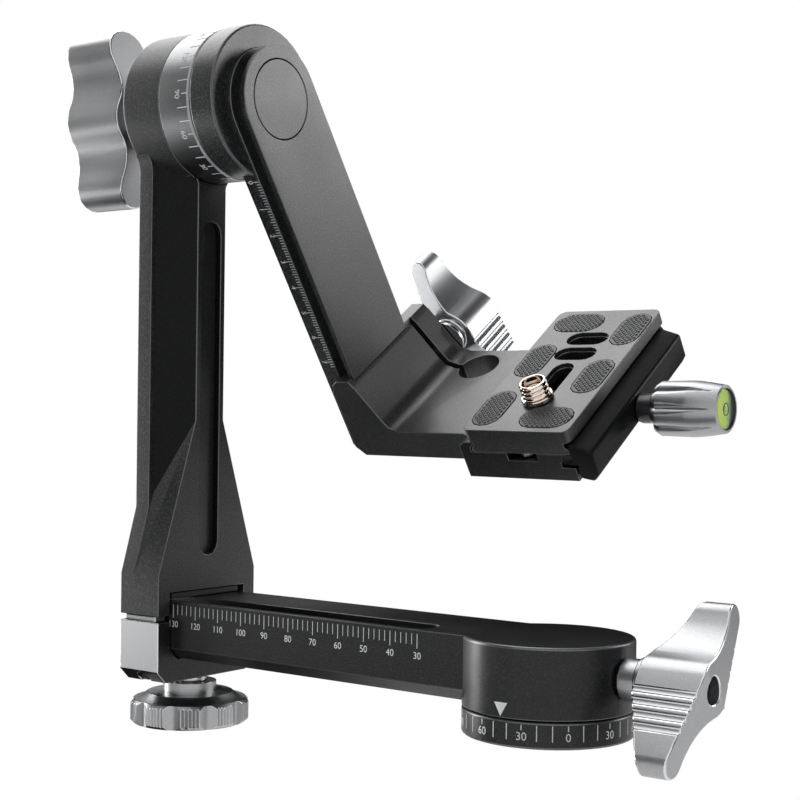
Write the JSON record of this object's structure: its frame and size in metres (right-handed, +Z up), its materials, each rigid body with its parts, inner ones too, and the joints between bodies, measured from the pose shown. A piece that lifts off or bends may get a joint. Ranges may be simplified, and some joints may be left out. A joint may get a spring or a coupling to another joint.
{
  "type": "gimbal tripod head",
  "caption": "Side-mount gimbal head for a tripod: panning base, sliding upright, swinging arm with a sliding cradle and a quick release plate.",
  "frame": {"origin": "centre of the pan base's underside, where it sits on the tripod", "axes": "+Z up along the pan axis; the horizontal arm runs along -X; the tilt axis is parallel to X; -Y is the side with the arm's ruler"},
  "size_m": [0.2497, 0.1483, 0.2395],
  "materials": {
    "black_anodised": "bead-blasted black anodised aluminium, satin",
    "silver_anodised": "bead-blasted silver anodised aluminium, satin",
    "steel": "turned stainless steel",
    "blackened_steel": "black oxide steel",
    "polymer": "matt black polymer",
    "bronze": "turned bronze",
    "pad_rubber": "matt rubber with a diamond grip",
    "vial_green": "clear green spirit level"
  },
  "bodies": {
    "base": {"base_plate": "black_anodised", "pan_spindle": "steel", "tripod_bushing": "steel"},
    "pan_body": {"horizontal_arm": "black_anodised", "pan_bushing": "bronze"},
    "pan_pad": {"pan_brake_pad": "polymer"},
    "pan_lock": {"pan_lock_knob": "silver_anodised", "pan_lock_stud": "steel", "pan_lock_screw": "blackened_steel"},
    "upright": {"vertical_arm": "black_anodised", "clamp_yoke": "silver_anodised", "yoke_screw_near": "blackened_steel", "yoke_screw_far": "blackened_steel", "arm_guide_liner": "polymer", "tilt_scale_ring": "silver_anodised", "tilt_bearing_front": "steel", "tilt_bearing_rear": "steel"},
    "arm_pad": {"arm_clamp_pad": "polymer"},
    "arm_clamp": {"arm_clamp_knob": "silver_anodised", "arm_clamp_stud": "steel"},
    "tilt_washer": {"tilt_thrust_washer": "bronze"},
    "tilt_lock": {"tilt_lock_knob": "silver_anodised", "tilt_lock_stud": "steel", "tilt_lock_screw": "blackened_steel"},
    "swing": {"swing_arm": "black_anodised", "tilt_shaft": "steel", "tilt_friction_washer": "polymer", "arm_cap": "black_anodised"},
    "cradle": {"cradle_bracket": "black_anodised", "clamp_base": "black_anodised", "clamp_screw_near": "blackened_steel", "clamp_screw_far": "blackened_steel", "guide_pin_near": "steel", "guide_pin_far": "steel"},
    "cradle_washer": {"cradle_lock_washer": "steel"},
    "cradle_lock": {"cradle_lock_knob": "silver_anodised", "cradle_lock_stud": "steel", "cradle_lock_screw": "blackened_steel"},
    "jaw": {"clamp_jaw": "black_anodised"},
    "jaw_knob": {"clamp_drive_screw": "blackened_steel", "clamp_knob": "silver_anodised", "level_bezel": "polymer", "level_vial": "vial_green"},
    "plate": {"quick_release_plate": "black_anodised", "grip_pad_1": "pad_rubber", "grip_pad_2": "pad_rubber", "grip_pad_3": "pad_rubber", "grip_pad_4": "pad_rubber", "grip_pad_5": "pad_rubber", "grip_pad_6": "pad_rubber", "stop_screw_near": "steel", "stop_screw_far": "steel"},
    "screw_carriage": {"camera_screw_clip": "steel"},
    "camera_fixing": {"camera_screw": "bronze", "thread_adapter": "bronze"}
  },
  "joints": [
    {"name": "pan_rotation", "type": "hinge", "parent": "base", "child": "pan_body", "pos_m": [0, 0, 0.0079], "axis": [0, 0, 1], "continuous": true},
    {"name": "pan_lock_press", "type": "slide", "parent": "pan_body", "child": "pan_pad", "axis": [1, 0, 0], "range_m": [0, 0.001]},
    {"name": "pan_lock_turn", "type": "hinge", "parent": "pan_pad", "child": "pan_lock", "pos_m": [0.0253, 0, 0.0181], "axis": [1, 0, 0], "range_deg": [0, 360]},
    {"name": "arm_slide", "type": "slide", "parent": "pan_body", "child": "upright", "axis": [1, 0, 0], "range_m": [0, 0.1]},
    {"name": "arm_clamp_press", "type": "slide", "parent": "upright", "child": "arm_pad", "axis": [0, 0, -1], "range_m": [0, 0.001]},
    {"name": "arm_clamp_turn", "type": "hinge", "parent": "arm_pad", "child": "arm_clamp", "pos_m": [-0.1434, 0, -0.005], "axis": [0, 0, -1], "range_deg": [0, 360]},
    {"name": "tilt_rotation", "type": "hinge", "parent": "upright", "child": "swing", "pos_m": [-0.1225, 0, 0.1933], "axis": [1, 0, 0], "continuous": true},
    {"name": "tilt_lock_press", "type": "slide", "parent": "upright", "child": "tilt_washer", "axis": [-1, 0, 0], "range_m": [0, 0.001]},
    {"name": "tilt_lock_turn", "type": "hinge", "parent": "tilt_washer", "child": "tilt_lock", "pos_m": [-0.1629, 0, 0.1933], "axis": [-1, 0, 0], "range_deg": [0, 360]},
    {"name": "cradle_slide", "type": "slide", "parent": "swing", "child": "cradle", "axis": [0, -0.5577, 0.83], "range_m": [0, 0.068]},
    {"name": "cradle_lock_press", "type": "slide", "parent": "cradle", "child": "cradle_washer", "axis": [0, 0.83, 0.5577], "range_m": [0, 0.001]},
    {"name": "cradle_lock_turn", "type": "hinge", "parent": "cradle_washer", "child": "cradle_lock", "pos_m": [-0.1019, 0.09186, 0.11864], "axis": [0, 0.83, 0.5577], "range_deg": [0, 360]},
    {"name": "jaw_slide", "type": "slide", "parent": "cradle", "child": "jaw", "axis": [1, 0, 0], "range_m": [0, 0.003]},
    {"name": "jaw_knob_turn", "type": "hinge", "parent": "jaw", "child": "jaw_knob", "pos_m": [-0.0035, 0.07309, 0.0935], "axis": [1, 0, 0], "range_deg": [0, 1080]},
    {"name": "plate_slide", "type": "slide", "parent": "cradle", "child": "plate", "axis": [0, 0.83, 0.5577], "range_m": [-0.0025, 0.0025]},
    {"name": "screw_slide", "type": "slide", "parent": "plate", "child": "screw_carriage", "axis": [0, 0.83, 0.5577], "range_m": [0, 0.017]},
    {"name": "camera_screw_turn", "type": "hinge", "parent": "screw_carriage", "child": "camera_fixing", "pos_m": [-0.0369, 0.05143, 0.09606], "axis": [0, -0.5577, 0.83], "continuous": true}
  ],
  "couplings": [
    {"joint": "pan_lock_press", "follows": "pan_lock_turn", "m_per_rad": 0.00015915},
    {"joint": "arm_clamp_press", "follows": "arm_clamp_turn", "m_per_rad": 0.00015915},
    {"joint": "tilt_lock_press", "follows": "tilt_lock_turn", "m_per_rad": 0.00015915},
    {"joint": "cradle_lock_press", "follows": "cradle_lock_turn", "m_per_rad": 0.00015915},
    {"joint": "jaw_knob_turn", "follows": "jaw_slide", "rad_per_m": 6283.2}
  ]
}
